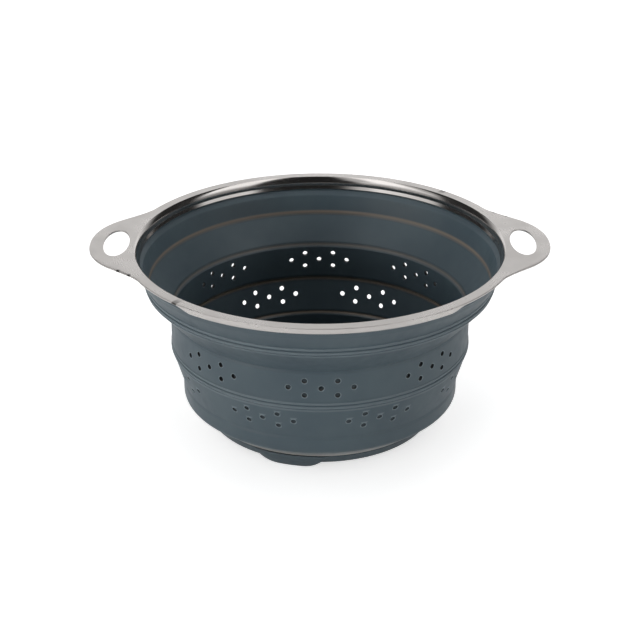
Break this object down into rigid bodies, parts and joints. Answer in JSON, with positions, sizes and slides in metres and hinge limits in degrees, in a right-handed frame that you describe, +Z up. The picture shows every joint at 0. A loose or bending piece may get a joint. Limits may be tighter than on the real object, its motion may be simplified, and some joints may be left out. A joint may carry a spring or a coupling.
{
  "type": "collapsible colander",
  "caption": "Collapsible colander: steel rim with two loop handles, silicone bands that nest on folding webs, drain holes in the wall and floor, and short feet.",
  "frame": {"origin": "on the table, under the middle of the base", "axes": "+Z up through the opening, +X towards one handle, -Y towards the front"},
  "size_m": [0.2886, 0.2452, 0.12],
  "materials": {
    "rim_steel": "brushed flange and handles, polished collar",
    "wall_silicone": "satin moulded silicone, blue grey",
    "base_plastic": "fine matte moulding, blue grey",
    "foot_rubber": "satin moulded silicone, blue grey"
  },
  "bodies": {
    "base": {"base_plate": "base_plastic", "base_band": "wall_silicone", "lower_web": "wall_silicone", "foot_1": "foot_rubber", "foot_2": "foot_rubber", "foot_3": "foot_rubber"},
    "middle": {"middle_band": "wall_silicone"},
    "rim": {"rim_plate": "rim_steel", "top_band": "wall_silicone", "upper_web": "wall_silicone"}
  },
  "joints": [
    {"name": "lower_fold", "type": "slide", "parent": "base", "child": "middle", "axis": [0, 0, -1], "range_m": [0, 0.0466], "deforming": ["lower_web"]},
    {"name": "upper_fold", "type": "slide", "parent": "middle", "child": "rim", "axis": [0, 0, -1], "range_m": [0, 0.0362], "deforming": ["upper_web"]}
  ]
}
